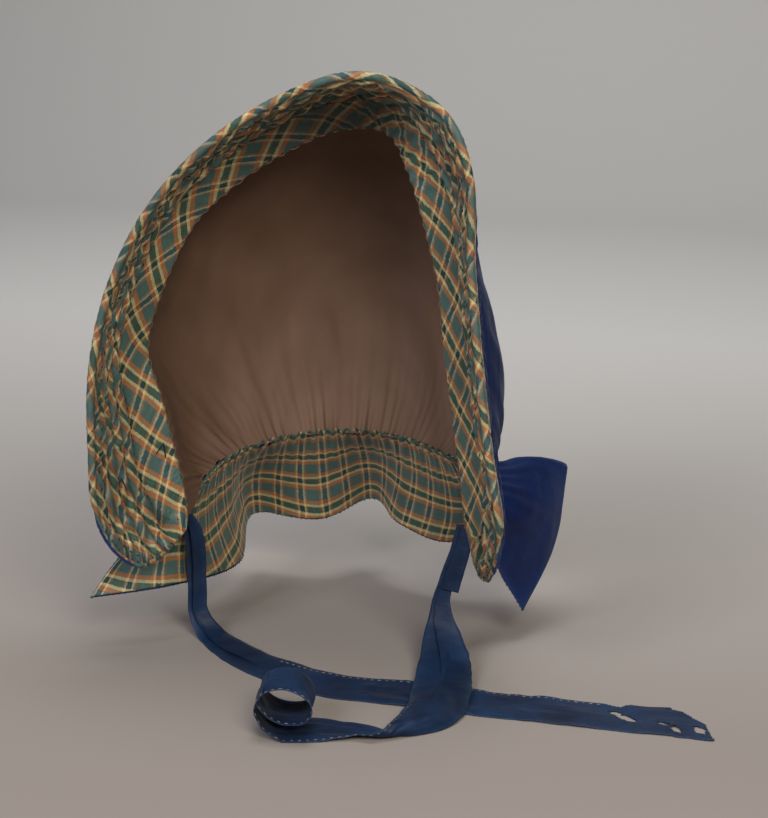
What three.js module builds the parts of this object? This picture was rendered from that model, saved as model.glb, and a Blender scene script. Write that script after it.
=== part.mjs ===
// Quilted hood with a flaring brim, a puffed crown, a gathered neck curtain and two ribbon ties.
// Millimetres, +Z up, face opening toward -Y, the wearer's left toward +X, origin at the top of the head.
import * as THREE from 'three';

// Cloth walls and the gap kept between two layers
const COVER_WALL = 2.2;
const FACING_WALL = 1.6;
const CROWN_WALL = 1.8;
const LINING_WALL = 1.0;
const CURTAIN_WALL = 1.1;
const RIBBON_WALL = 1.0;
const LAYER_GAP = 0.36;

// How far each wall stops short of a seam line
const BRIM_TRIM = 2.1;
const CROWN_TRIM = 1.8;
const CURTAIN_DROP = 2.9;
const EAR_SLACK = 0.3;

// Brim quilting: padded channels that run along the rim, then a smooth band to the seam
const BRIM_HOLLOW = 7.5;
const CHANNELS = 5;
const QUILTED_SHARE = 0.62;
const CHANNEL_HEIGHT = 1.3;
const BRIM_AROUND = 38;
const RIM_EDGE = 0.5;
const RIM_ROUND = 0.35;
const SMOOTH_STEPS = 3;

// Crown fullness, as shares of the run from brim seam to neck seam
const CROWN_BACK = 0.36;
const CROWN_RISE_SIDE = 0.09;
const CROWN_RISE_TOP = 0.2;
const CROWN_POUCH = 50;
const CROWN_POUCH_SHARE = 0.42;
const CROWN_MIDDLE = -110;
const CROWN_AROUND = 48;
const CROWN_DEEP = 9;
const GATHERS = 12;
const GATHER_DEPTH = 1.6;

// Neck curtain
const CURTAIN_AROUND = 48;
const CURTAIN_DEEP = 4;
const CURTAIN_BOW = 7;

// Ties
const RIBBON = 36;
const ROLL_CENTRE = [18, -139, -293.4];
const ROLL_RADIUS = 16;
const ROLL_CLOSING = 4.5;
const ROLL_TURNS = 1.36;
const ROLL_LEAN = 0.22;
const ROLL_STEPS = 11;
const TIE_STEPS = 62;

// Brim sections from the wearer's right lappet over the top to the left lappet: rim point, seam point
const BRIM_SECTIONS = [
  { rim: [-77, -22, -240], seam: [-79, -14, -233] },
  { rim: [-84, -44, -249], seam: [-80, -15, -223] },
  { rim: [-95, -63, -251], seam: [-82, -16, -211] },
  { rim: [-110, -75, -228], seam: [-86, -17, -193] },
  { rim: [-115, -72, -180], seam: [-92, -18, -165] },
  { rim: [-114, -69.5, -135], seam: [-101, -17, -132] },
  { rim: [-104, -66, -90], seam: [-92, -15, -98] },
  { rim: [-82, -62, -46], seam: [-72, -12, -58] },
  { rim: [-52, -59.5, -12], seam: [-48, -10, -35] },
  { rim: [-13, -57.5, 15], seam: [-21, -9, -17] },
  { rim: [33, -56, 32], seam: [16, -7, -1] },
  { rim: [64, -57, 27], seam: [44, -8, -3] },
  { rim: [88, -58, 10], seam: [57, -10, -26] },
  { rim: [100, -60, -20], seam: [66, -12, -54] },
  { rim: [102, -63.5, -66], seam: [74, -13, -86] },
  { rim: [107, -67, -115], seam: [78, -15, -122] },
  { rim: [114, -71, -167], seam: [83, -16, -160] },
  { rim: [122, -75, -215], seam: [88, -16, -194] },
  { rim: [114, -64, -243], seam: [90, -16, -215] },
  { rim: [98, -25, -246], seam: [91, -14, -229] },
];

// Neck seam from the right ear round the nape to the left ear, the curtain's hem below, its upward swell
const NECK_SECTIONS = [
  { seam: [-79, -5, -232], hem: [-131, -41, -281], lift: 3 },
  { seam: [-79, 14, -220], hem: [-89, -16, -278], lift: 0 },
  { seam: [-74, 38, -214], hem: [-71, 65, -286], lift: 0 },
  { seam: [-56, 62, -208], hem: [-78, 112, -270], lift: 0 },
  { seam: [-26, 80, -204], hem: [-32, 112, -270], lift: 0 },
  { seam: [4, 85, -203], hem: [-4, 138, -262], lift: 0 },
  { seam: [34, 79, -204], hem: [22, 109, -269], lift: 0 },
  { seam: [62, 58, -206], hem: [62, 92, -272], lift: 0 },
  { seam: [80, 38, -208], hem: [130, 100, -220], lift: 9 },
  { seam: [91, 14, -214], hem: [130, 66, -258], lift: 2 },
  { seam: [92, -4, -224], hem: [117, 27, -291], lift: 0 },
];

// Tie routes: middle of the ribbon, direction across it, width there
const RIGHT_TIE = [
  { at: [-75.3, -10, -228], across: [0.1, 1, 0], width: 12 },
  { at: [-75.5, -8.5, -243], across: [0.6, 0.8, 0], width: 12 },
  { at: [-75.5, -8.5, -258], across: [0.75, 0.66, 0], width: 12 },
  { at: [-75, -9, -277], across: [0.8, 0.6, 0], width: 12 },
  { at: [-72, -12, -299], across: [0.8, 0.6, 0.1], width: 14 },
  { at: [-61, -21, -308.6], across: [0.75, 0.66, 0], width: 24 },
  { at: [-42, -38, -309], across: [0.7, 0.71, 0], width: 33 },
  { at: [-10, -60, -309], across: [0.48, 0.88, 0], width: 36 },
  { at: [26, -73, -309], across: [0.15, 0.99, 0], width: 36 },
  { at: [66, -75, -309], across: [0, 1, 0], width: 36 },
  { at: [110, -79, -309], across: [0, 1, 0], width: 36 },
  { at: [150, -80, -308.6], across: [0, 1, 0], width: 36 },
  { at: [190, -82, -309], across: [0, 1, 0], width: 36 },
  { at: [222, -86, -309], across: [0.1, 0.99, 0], width: 33 },
  { at: [243, -95, -309], across: [0.3, 0.95, 0], width: 14 },
];
const LEFT_TIE = [
  { at: [85, -10.9, -250], across: [1, 0, 0], width: 12 },
  { at: [80.5, -11.2, -269], across: [1, 0, 0], width: 14 },
  { at: [75, -17, -294], across: [0.9, 0.4, 0], width: 14 },
  { at: [81, -34, -306], across: [0.95, 0.25, 0], width: 28 },
  { at: [87, -56, -305.5], across: [0.97, 0.2, 0], width: 34 },
  { at: [93, -86, -305.5], across: [0.98, 0.1, 0.1], width: 36 },
  { at: [94, -112, -303.5], across: [0.85, -0.35, -0.3], width: 30 },
  { at: [80, -131, -300.5], across: [0.3, -0.3, -0.8], width: 17 },
  { at: [62, -137, -303.4], across: [0, 0.75, -0.35], width: 24 },
  { at: [40, -139, -309.2], across: [0, 1, 0], width: 33 },
];
const TIE_TAB = [
  { at: [87.6, -10.2, -227.9], across: [1, 0, 0], width: 14 },
  { at: [85.6, -12.5, -249], across: [1, 0, 0], width: 14 },
  { at: [81.5, -13.6, -268], across: [0.98, 0, 0.2], width: 12 },
];

// Colours
const BLUE_SILK = 0x22325f;
const PLAID_SILK = 0x4d7d7c;
const BROWN_COTTON = 0x6e5541;
const RIBBON_SILK = 0x1f2d55;

function vector(point) {
  return new THREE.Vector3(point[0], point[1], point[2]);
}

function curveThrough(points) {
  return new THREE.CatmullRomCurve3(points.map(vector), false, 'centripetal');
}

function ramp(low, high, value) {
  const share = Math.min(1, Math.max(0, (value - low) / (high - low)));
  return share * share * (3 - 2 * share);
}

const rimCurve = curveThrough(BRIM_SECTIONS.map((row) => row.rim));
const seamCurve = curveThrough(BRIM_SECTIONS.map((row) => row.seam));
const neckCurve = curveThrough(NECK_SECTIONS.map((row) => row.seam));
const hemCurve = curveThrough(NECK_SECTIONS.map((row) => row.hem));
const liftCurve = curveThrough(NECK_SECTIONS.map((row, index) => [10 * index, 0, row.lift]));

// A point of the brim: along runs lappet to lappet, across runs rim to seam
function brimPoint(along, across) {
  const rim = rimCurve.getPoint(along);
  const seam = seamCurve.getPoint(along);
  const chord = seam.clone().sub(rim);
  const inward = rimCurve.getTangent(along).cross(chord).normalize();
  const hollow = BRIM_HOLLOW * Math.sin(Math.PI * across) * ramp(20, 52, chord.length());
  const share = across * (1 - BRIM_TRIM / chord.length());
  return rim.addScaledVector(chord, share).addScaledVector(inward, hollow);
}

// Height of the padded channels above the stitch lines
function channelHeight(along, across) {
  if (across >= QUILTED_SHARE) {
    return 0;
  }
  const depth = seamCurve.getPoint(along).distanceTo(rimCurve.getPoint(along));
  const wave = Math.abs(Math.sin(Math.PI * CHANNELS * across / QUILTED_SHARE));
  return CHANNEL_HEIGHT * ramp(15, 45, depth) * wave;
}

// A point of the crown: along as on the brim, down runs brim seam to neck seam
function crownPoint(along, down) {
  const start = seamCurve.getPoint(along);
  const end = neckCurve.getPoint(along);
  const run = start.distanceTo(end);
  const rise = new THREE.Vector3(start.x, 0, Math.max(0, start.z - CROWN_MIDDLE)).normalize();
  const out = new THREE.Vector3(end.x - 5, end.y - 10, 0).normalize();
  const arch = Math.sin(Math.PI * along) ** 2;
  const lift = THREE.MathUtils.lerp(CROWN_RISE_SIDE, CROWN_RISE_TOP, arch ** 2);
  const puff = ramp(10, 60, run);
  const first = start.clone().addScaledVector(rise, lift * run);
  first.y += CROWN_BACK * run;
  const second = end.clone().addScaledVector(out, Math.min(CROWN_POUCH, CROWN_POUCH_SHARE * run));
  second.z += (start.z - end.z) * (0.2 + 0.32 * arch);
  first.lerp(start.clone().lerp(end, 1 / 3), 1 - puff);
  second.lerp(start.clone().lerp(end, 2 / 3), 1 - puff);
  const from = CROWN_TRIM / Math.max(run, 3 * start.distanceTo(first));
  const to = 1 - CROWN_TRIM / Math.max(run, 3 * second.distanceTo(end));
  const profile = new THREE.CubicBezierCurve3(start, first, second, end);
  const point = profile.getPoint(THREE.MathUtils.lerp(from, to, down));
  const gather = GATHER_DEPTH * ramp(0.55, 0.95, down) * Math.sin(2 * Math.PI * GATHERS * along);
  return point.addScaledVector(out, gather * ramp(0.05, 0.15, along) * ramp(0.05, 0.15, 1 - along));
}

// A point of the neck curtain: along the neck seam, down to the hem
function curtainPoint(along, down) {
  const top = neckCurve.getPoint(along);
  const hem = hemCurve.getPoint(along);
  const out = new THREE.Vector3(top.x - 5, top.y - 10, 0).normalize();
  top.z -= CURTAIN_DROP;
  out.multiplyScalar(CURTAIN_BOW);
  out.z = liftCurve.getPoint(along).z;
  return top.lerp(hem, down).addScaledVector(out, Math.sin(Math.PI * down));
}

// A point of a tie that follows its route rows
function tiePath(rows) {
  const middle = curveThrough(rows.map((row) => row.at));
  const last = rows.length - 1;
  return (along, side) => {
    const place = Math.min(along * last, last - 1e-9);
    const index = Math.floor(place);
    const share = ramp(0, 1, place - index);
    const across = vector(rows[index].across).lerp(vector(rows[index + 1].across), share);
    const width = THREE.MathUtils.lerp(rows[index].width, rows[index + 1].width, share);
    const tangent = middle.getTangent(along);
    across.addScaledVector(tangent, -across.dot(tangent)).normalize();
    return middle.getPoint(along).addScaledVector(across, (side - 0.5) * width);
  };
}

// The loose roll that ends the left tie
function rollRows() {
  const rows = [];
  for (let step = 0; step <= ROLL_STEPS; step += 1) {
    const turn = 2 * Math.PI * ROLL_TURNS * step / ROLL_STEPS;
    const radius = ROLL_RADIUS - ROLL_CLOSING * step / ROLL_STEPS;
    const x = ROLL_CENTRE[0] - radius * Math.sin(turn);
    const z = ROLL_CENTRE[2] - radius * Math.cos(turn);
    const lean = ROLL_LEAN * Math.abs(Math.sin(turn / 2));
    const across = [lean * Math.sin(turn), 1, lean * Math.cos(turn)];
    rows.push({ at: [x, ROLL_CENTRE[1], z], across, width: RIBBON - 2 });
  }
  return rows;
}

function evenSteps(start, end, count) {
  return Array.from({ length: count + 1 }, (unused, index) => start + (end - start) * index / count);
}

// Rim-to-seam steps: a crest and a stitch line for every channel, then the smooth band
function brimSteps() {
  const quilted = evenSteps(0, QUILTED_SHARE, CHANNELS * 2);
  return quilted.concat(evenSteps(QUILTED_SHARE, 1, SMOOTH_STEPS).slice(1));
}

// A closed cloth wall between two offsets from a surface
function clothWall(name, colour, surface, alongSteps, acrossSteps, low, high) {
  const rows = alongSteps.length;
  const columns = acrossSteps.length;
  const positions = [];
  const small = 1e-4;
  const layers = [low, high];
  for (const offset of layers) {
    for (const along of alongSteps) {
      for (const across of acrossSteps) {
        const before = surface(Math.max(0, along - small), across);
        const after = surface(Math.min(1, along + small), across);
        const outer = surface(along, Math.max(0, across - small));
        const inner = surface(along, Math.min(1, across + small));
        const normal = after.sub(before).cross(inner.sub(outer)).normalize();
        const point = surface(along, across).addScaledVector(normal, offset(along, across));
        positions.push(point.x, point.y, point.z);
      }
    }
  }
  const index = [];
  const at = (layer, row, column) => (layer * rows + row) * columns + column;
  const quad = (a, b, c, d) => index.push(a, b, c, a, c, d);
  for (let row = 0; row < rows - 1; row += 1) {
    for (let column = 0; column < columns - 1; column += 1) {
      quad(at(1, row, column), at(1, row + 1, column), at(1, row + 1, column + 1), at(1, row, column + 1));
      quad(at(0, row, column), at(0, row, column + 1), at(0, row + 1, column + 1), at(0, row + 1, column));
    }
    const end = columns - 1;
    quad(at(0, row, 0), at(0, row + 1, 0), at(1, row + 1, 0), at(1, row, 0));
    quad(at(0, row, end), at(1, row, end), at(1, row + 1, end), at(0, row + 1, end));
  }
  for (let column = 0; column < columns - 1; column += 1) {
    const end = rows - 1;
    quad(at(0, 0, column), at(1, 0, column), at(1, 0, column + 1), at(0, 0, column + 1));
    quad(at(0, end, column), at(0, end, column + 1), at(1, end, column + 1), at(1, end, column));
  }
  const geometry = new THREE.BufferGeometry();
  geometry.setAttribute('position', new THREE.Float32BufferAttribute(positions, 3));
  geometry.setIndex(index);
  geometry.computeVertexNormals();
  const material = new THREE.MeshStandardMaterial({ color: colour, roughness: 0.7 });
  const mesh = new THREE.Mesh(geometry, material);
  mesh.name = name;
  return mesh;
}

function tie(name, rows, steps) {
  const half = () => RIBBON_WALL / 2;
  const minusHalf = () => -RIBBON_WALL / 2;
  return clothWall(name, RIBBON_SILK, tiePath(rows), evenSteps(0, 1, steps), [0, 0.5, 1], minusHalf, half);
}

const hood = new THREE.Group();
hood.name = 'quilted_hood';

const brimAlong = evenSteps(0, 1, BRIM_AROUND);
const brimAcross = brimSteps();
const coverLow = () => LAYER_GAP / 2;
const rounded = (wall, across) => THREE.MathUtils.lerp(RIM_EDGE, wall, ramp(0, RIM_ROUND, across));
const padded = (wall, along, across) => rounded(wall, across) + channelHeight(along, across);
const coverHigh = (along, across) => LAYER_GAP / 2 + padded(COVER_WALL, along, across);
const facingLow = (along, across) => -LAYER_GAP / 2 - padded(FACING_WALL, along, across);
const facingHigh = () => -LAYER_GAP / 2;
hood.add(clothWall('brim_cover', BLUE_SILK, brimPoint, brimAlong, brimAcross, coverLow, coverHigh));
hood.add(clothWall('brim_facing', PLAID_SILK, brimPoint, brimAlong, brimAcross, facingLow, facingHigh));

const crownAlong = evenSteps(0, 1, CROWN_AROUND);
const crownDown = evenSteps(0, 1, CROWN_DEEP);
const crownHigh = () => LAYER_GAP / 2 + CROWN_WALL;
const earSlack = (along) => EAR_SLACK * (1 - ramp(0, 0.12, Math.min(along, 1 - along)));
const liningHigh = (along) => -LAYER_GAP / 2 - earSlack(along);
const liningLow = (along) => liningHigh(along) - LINING_WALL;
hood.add(clothWall('crown_cover', BLUE_SILK, crownPoint, crownAlong, crownDown, coverLow, crownHigh));
hood.add(clothWall('crown_lining', BROWN_COTTON, crownPoint, crownAlong, crownDown, liningLow, liningHigh));

const curtainAlong = evenSteps(0, 1, CURTAIN_AROUND);
const curtainDown = evenSteps(0, 1, CURTAIN_DEEP);
const curtainHigh = () => LAYER_GAP / 2 + CURTAIN_WALL;
const curtainLow = () => -LAYER_GAP / 2 - CURTAIN_WALL;
const curtainWall = (name, colour, low, high) => (
  clothWall(name, colour, curtainPoint, curtainAlong, curtainDown, low, high)
);
hood.add(curtainWall('neck_curtain', BLUE_SILK, coverLow, curtainHigh));
hood.add(curtainWall('neck_curtain_lining', PLAID_SILK, curtainLow, facingHigh));

hood.add(tie('tie_right', RIGHT_TIE, TIE_STEPS));
hood.add(tie('tie_left', LEFT_TIE.concat(rollRows()), TIE_STEPS));
hood.add(tie('tie_left_tab', TIE_TAB, 8));

export default hood;
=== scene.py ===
import math

import bpy
import numpy as np
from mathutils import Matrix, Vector


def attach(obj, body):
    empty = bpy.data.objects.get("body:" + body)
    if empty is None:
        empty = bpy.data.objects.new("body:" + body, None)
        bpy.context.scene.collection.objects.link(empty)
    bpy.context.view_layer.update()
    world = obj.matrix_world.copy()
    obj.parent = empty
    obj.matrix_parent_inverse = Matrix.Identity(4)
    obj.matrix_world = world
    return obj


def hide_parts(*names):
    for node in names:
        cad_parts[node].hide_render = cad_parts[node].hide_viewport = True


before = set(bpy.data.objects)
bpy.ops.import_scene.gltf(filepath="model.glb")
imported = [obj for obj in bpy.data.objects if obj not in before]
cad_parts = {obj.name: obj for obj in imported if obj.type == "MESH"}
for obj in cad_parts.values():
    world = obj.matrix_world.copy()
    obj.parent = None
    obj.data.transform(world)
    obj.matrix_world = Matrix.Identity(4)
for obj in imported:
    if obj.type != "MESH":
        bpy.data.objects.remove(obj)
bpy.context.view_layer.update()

MM = 0.001

# Sizes shared with the part's solids, in millimetres
COVER_WALL = 2.2
FACING_WALL = 1.6
LAYER_GAP = 0.36
EAR_SLACK = 0.3
BRIM_HOLLOW = 7.5
CHANNELS = 5
QUILTED_SHARE = 0.62
CHANNEL_HEIGHT = 1.3
RIM_EDGE = 0.5
RIM_ROUND = 0.35
CROWN_BACK = 0.36
CROWN_RISE_SIDE = 0.09
CROWN_RISE_TOP = 0.2
CROWN_POUCH = 50
CROWN_POUCH_SHARE = 0.42
CROWN_MIDDLE = -110
GATHERS = 12
GATHER_DEPTH = 1.6
CURTAIN_BOW = 7
RIBBON = 36
FLOOR_LEVEL = -310.0
ROLL_CENTRE = (19.5, -142, -295)
ROLL_RADIUS = (16.4, 14.4)
ROLL_CLOSING = (1.4, 6.4)
ROLL_TURNS = 1.36
ROLL_AXIS = (-0.2, 0.98, 0)
ROLL_STEPS = 11

# Brim from the wearer's right lappet over the top to the left lappet: rim point, seam point
BRIM_SECTIONS = [
    ((-77, -22, -240), (-79, -14, -233)),
    ((-84, -44, -249), (-80, -15, -223)),
    ((-95, -63, -251), (-82, -16, -211)),
    ((-110, -75, -228), (-86, -17, -193)),
    ((-115, -72, -180), (-92, -18, -165)),
    ((-114, -69.5, -135), (-101, -17, -132)),
    ((-104, -66, -90), (-92, -15, -98)),
    ((-82, -62, -46), (-72, -12, -58)),
    ((-52, -59.5, -12), (-48, -10, -35)),
    ((-13, -57.5, 15), (-21, -9, -17)),
    ((33, -56, 32), (16, -7, -1)),
    ((64, -57, 27), (44, -8, -3)),
    ((88, -58, 10), (57, -10, -26)),
    ((100, -60, -20), (66, -12, -54)),
    ((102, -63.5, -66), (74, -13, -86)),
    ((107, -67, -115), (78, -15, -122)),
    ((114, -71, -167), (83, -16, -160)),
    ((122, -75, -215), (88, -16, -194)),
    ((114, -64, -243), (90, -16, -215)),
    ((98, -25, -246), (91, -14, -229)),
]
# Neck seam from the right ear round the nape to the left ear: seam point, hem point, upward swell
NECK_SECTIONS = [
    ((-79, -5, -232), (-131, -41, -281), 3),
    ((-79, 14, -220), (-89, -16, -278), 0),
    ((-74, 38, -214), (-71, 65, -286), 0),
    ((-56, 62, -208), (-78, 112, -270), 0),
    ((-26, 80, -204), (-32, 112, -270), 0),
    ((4, 85, -203), (-4, 138, -262), 0),
    ((34, 79, -204), (22, 109, -269), 0),
    ((62, 58, -206), (62, 92, -272), 0),
    ((80, 38, -208), (130, 100, -220), 6),
    ((91, 14, -214), (130, 66, -258), 2),
    ((92, -4, -224), (117, 27, -291), 0),
]
FLAP_CORNER = 8
# Right tie: middle of the ribbon, direction across it, width there, how far it is folded lengthwise
RIGHT_TIE = [
    ((-80, -13.5, -233.5), (0.3, 0.95, 0), 6, 1),
    ((-78, -10, -241), (0.6, 0.8, 0), 9, 1),
    ((-76.5, -8.5, -250), (0.7, 0.7, 0), 10.5, 1),
    ((-75.5, -8.5, -262), (0.75, 0.66, 0), 10.5, 1),
    ((-75.5, -9, -279), (0.8, 0.6, 0), 10.5, 1),
    ((-74.5, -10, -296), (0.8, 0.6, 0.1), 11.5, 0.95),
    ((-66, -14, -306.8), (0.75, 0.66, 0), 16, 0.8),
    ((-54.4, -26.4, -308.8), (0.74, 0.67, 0), 18.5, 0.75),
    ((-40, -39.4, -309.1), (0.66, 0.75, 0), 23, 0.6),
    ((-9, -60, -309.3), (0.48, 0.88, 0), 29, 0.35),
    ((26, -73, -309.3), (0.15, 0.99, 0), 34, 0.1),
    ((66, -75, -309.3), (0, 1, 0), 36, 0),
    ((110, -79, -309.3), (0, 1, 0), 36, 0),
    ((150, -80, -309.2), (0, 1, 0), 36, 0),
    ((190, -82, -309.3), (0, 1, 0), 36, 0),
    ((222, -80, -309.3), (0, 1, 0), 41, 0),
    ((244, -81, -309.3), (0, 1, 0), 41, 0),
]
# Left tie: stitched edge, other edge, how far its middle curls up, how far it is folded lengthwise
LEFT_TIE = [
    ((78, -11.2, -254), (87.5, -11.2, -254), 0, 1),
    ((70.4, -12.6, -273), (82.3, -12.6, -270), 0, 1),
    ((68.6, -18, -285.6), (82.8, -15, -280), 0, 0.9),
    ((68.2, -24, -291.5), (89.4, -20, -293.5), 1, 0.8),
    ((68.6, -36, -300), (97.5, -34, -301.5), 2, 0.6),
    ((71, -60, -305), (103, -54, -306.5), 3, 0.42),
    ((73.7, -80, -305), (106.4, -72.8, -307), 3, 0.25),
    ((77.1, -101.4, -303.5), (107.9, -101.1, -308.8), 3.5, 0),
    ((76.3, -123.7, -303), (99.8, -122.5, -309.2), 4, 0),
    ((74.8, -137.6, -302.5), (83, -135.2, -309.2), 3, 0),
    ((69.3, -146.4, -303.5), (74.7, -133, -309), 2.5, 0),
    ((57.5, -147.2, -307.5), (62.3, -127.5, -309), 0.5, 0),
    ((44.4, -151.8, -309.2), (46.2, -123.6, -309.2), 0, 0),
    ((31.4, -156.2, -309.3), (32.1, -121.7, -309.3), 0, 0),
]
# Folded tab that holds the left tie: same columns
TIE_TAB = [
    ((84, -10.5, -228.5), (95.5, -10.5, -229), 0, 1),
    ((80, -12.8, -245), (92.8, -12.8, -245), 0, 1),
    ((74.5, -13.6, -261), (88.6, -13.6, -261), 0, 1),
    ((73, -14, -266.3), (87, -14, -268), 0, 1),
]
# Worn holes near the right tie's end: middle, half length, half width, turn in degrees
TORN_HOLES = [
    (193, -80.5, 10, 2.6, -38),
    (215, -85, 4.4, 1.8, -35),
    (222.5, -91, 5, 2.4, -50),
    (216, -63, 3.2, 1.1, 30),
    (235, -88.5, 5, 3, -60),
]

# Far edge of the right tie where its end is worn to a slant: x, y
WORN_EDGE = [
    (150, -50), (176, -62), (184, -66), (190, -68),
    (197, -61), (208, -58), (216, -60), (227, -70), (237, -80), (243, -99)]

# Sewn detail, in millimetres, degrees and shares
SEAM_LAP = 0.7
RIM_ROLL = 2.1
ROLL_OVER = 4.5
WEFT_TILT = 52
WARP_TILT = 37
PLAID_FULLNESS = 0.8
LINING_SHIFT = 5.3
THREAD_END = 9

SILK_WALL = 0.6
RIBBON_WALL = 0.4
FOLD_BACK = 0.5
FOLD_DEPTH = 5
PUCKER_PERIOD = 12
PUCKER_LEAN = 1.5
PLEAT_PERIOD = 8.5
NECK_PLEAT = 6.4
STITCH_STEP = 2
SOFT_HOLD = 0.03
ROLL_HOLD = 0.5
SETTLE_SPARE = (0.01, 0.17)
SETTLE_REACH = 3.2
LAP_UP = 3.6
LAP_IN = 4.4
NOISE_CELLS = 97


def unit(vectors):
    return vectors / np.maximum(np.linalg.norm(vectors, axis=-1, keepdims=True), 1e-12)


def ramp(low, high, value):
    share = np.clip((value - low) / (high - low), 0, 1)
    return share * share * (3 - 2 * share)


def mix(first, second, share):
    return first + (second - first) * share


def smooth_route(points):
    """A smooth curve through points, read at shares from 0 to 1."""
    inner = np.array(points, float)
    p = np.vstack([2 * inner[0] - inner[1], inner, 2 * inner[-1] - inner[-2]])
    gaps = np.sqrt(np.linalg.norm(np.diff(p, axis=0), axis=1))

    def at(share):
        place = np.clip(np.asarray(share, float), 0, 1) * (len(p) - 3)
        i = np.minimum(place.astype(int), len(p) - 4)
        w = (place - i)[..., None]
        x0, x1, x2, x3 = p[i], p[i + 1], p[i + 2], p[i + 3]
        d0, d1, d2 = (gaps[i + k][..., None] for k in range(3))
        t1 = ((x1 - x0) / d0 - (x2 - x0) / (d0 + d1) + (x2 - x1) / d1) * d1
        t2 = ((x2 - x1) / d1 - (x3 - x1) / (d1 + d2) + (x3 - x2) / d2) * d1
        square = (3 * (x2 - x1) - 2 * t1 - t2) * w**2
        return x1 + t1 * w + square + (2 * (x1 - x2) + t1 + t2) * w**3

    return at


def soft_noise(u, v, size, seed):
    """Smooth noise from -1 to 1 with lumps about size across."""
    lattice = np.random.default_rng(seed).uniform(-1, 1, (NOISE_CELLS, NOISE_CELLS))
    x, y = np.asarray(u) / size, np.asarray(v) / size
    i, j = np.floor(x).astype(int), np.floor(y).astype(int)
    fx, fy = ramp(0, 1, x - i), ramp(0, 1, y - j)
    j, j_next = j % NOISE_CELLS, (j + 1) % NOISE_CELLS
    row = [mix(lattice[(i + k) % NOISE_CELLS, j], lattice[(i + k) % NOISE_CELLS, j_next], fy) for k in (0, 1)]
    return mix(row[0], row[1], fx)


def lengths(grid, axis):
    """Running length along one direction of a grid of points."""
    steps = np.linalg.norm(np.diff(grid, axis=axis), axis=-1)
    start = np.zeros_like(np.take(steps, [0], axis=axis))
    return np.cumsum(np.concatenate([start, steps], axis=axis), axis=axis)


def normals(grid):
    return unit(np.cross(np.gradient(grid, axis=0), np.gradient(grid, axis=1)))


rim_route = smooth_route([row[0] for row in BRIM_SECTIONS])
seam_route = smooth_route([row[1] for row in BRIM_SECTIONS])
neck_route = smooth_route([row[0] for row in NECK_SECTIONS])
hem_parts = [
    smooth_route([row[1] for row in rows])
    for rows in (NECK_SECTIONS[:FLAP_CORNER + 1], NECK_SECTIONS[FLAP_CORNER:])]
lift_route = smooth_route([(10 * i, 0, row[2]) for i, row in enumerate(NECK_SECTIONS)])


def hem_route(along):
    """The curtain's hem, with a sharp corner where the left flap turns."""
    corner = FLAP_CORNER / (len(NECK_SECTIONS) - 1)
    back, front = hem_parts[0](along / corner), hem_parts[1]((along - corner) / (1 - corner))
    return np.where(np.asarray(along)[..., None] < corner, back, front)


def brim_surface(along, across):
    """Points of the brim: along runs lappet to lappet, across runs rim to seam."""
    rim, seam = rim_route(along), seam_route(along)
    chord = seam - rim
    depth = np.linalg.norm(chord, axis=-1)
    tangent = rim_route(along + 1e-4) - rim_route(along - 1e-4)
    inward = unit(np.cross(tangent, chord))
    hollow = BRIM_HOLLOW * np.sin(np.pi * across) * ramp(20, 52, depth)
    share = across * (1 + SEAM_LAP / depth)
    return rim + chord * share[..., None] + inward * hollow[..., None]


def crown_surface(along, down):
    """Points of the crown: along as on the brim, down runs brim seam to neck seam."""
    start, end = seam_route(along), neck_route(along)
    run = np.linalg.norm(end - start, axis=-1)[..., None]
    flat = np.zeros(along.shape)
    rise = unit(np.stack([start[..., 0], flat, np.maximum(0, start[..., 2] - CROWN_MIDDLE)], -1))
    out = unit(np.stack([end[..., 0] - 5, end[..., 1] - 10, flat], -1))
    arch = (np.sin(np.pi * along) ** 2)[..., None]
    puff = ramp(10, 60, run)
    back, up = np.array([0, 1, 0]), np.array([0, 0, 1])
    first = start + rise * mix(CROWN_RISE_SIDE, CROWN_RISE_TOP, arch**2) * run + back * CROWN_BACK * run
    second = end + out * np.minimum(CROWN_POUCH, CROWN_POUCH_SHARE * run)
    second = second + up * ((start - end)[..., 2:] * (0.2 + 0.32 * arch))
    first = mix(first, mix(start, end, 1 / 3), 1 - puff)
    second = mix(second, mix(start, end, 2 / 3), 1 - puff)
    reach = [np.linalg.norm(a - b, axis=-1)[..., None] * 3 for a, b in ((first, start), (second, end))]
    laps = [SEAM_LAP / np.maximum(run, far) for far in reach]
    t = mix(-2 * laps[0], 1 + laps[1], down[..., None])
    point = start * (1 - t) ** 3 + first * 3 * t * (1 - t) ** 2
    point = point + second * 3 * t**2 * (1 - t) + end * t**3
    gather = GATHER_DEPTH * ramp(0.55, 0.95, down) * np.sin(2 * np.pi * GATHERS * along)
    gather = gather * ramp(0.05, 0.15, along) * ramp(0.05, 0.15, 1 - along)
    return point + out * gather[..., None]


def curtain_surface(along, down):
    """Points of the neck curtain: along the neck seam, down to the hem."""
    top, hem = neck_route(along), hem_route(along)
    out = unit(np.stack([top[..., 0] - 5, top[..., 1] - 10, np.zeros(along.shape)], -1)) * CURTAIN_BOW
    out = out * mix(-0.3, 1, ramp(0, 0.12, 1 - along))[..., None]
    out[..., 2] = lift_route(along)[..., 2]
    top = top - np.array([0, 0, SEAM_LAP / 2])
    return mix(top, hem, down[..., None]) + out * np.sin(np.pi * down)[..., None]


# Mesh making
def quads(rows, columns):
    """Corner numbers of a grid's faces, turned so that along cross across points out."""
    corner = np.arange(rows * columns).reshape(rows, columns)
    faces = [corner[:-1, :-1], corner[1:, :-1], corner[1:, 1:], corner[:-1, 1:]]
    return np.stack(faces, -1).reshape(-1, 4)


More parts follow.
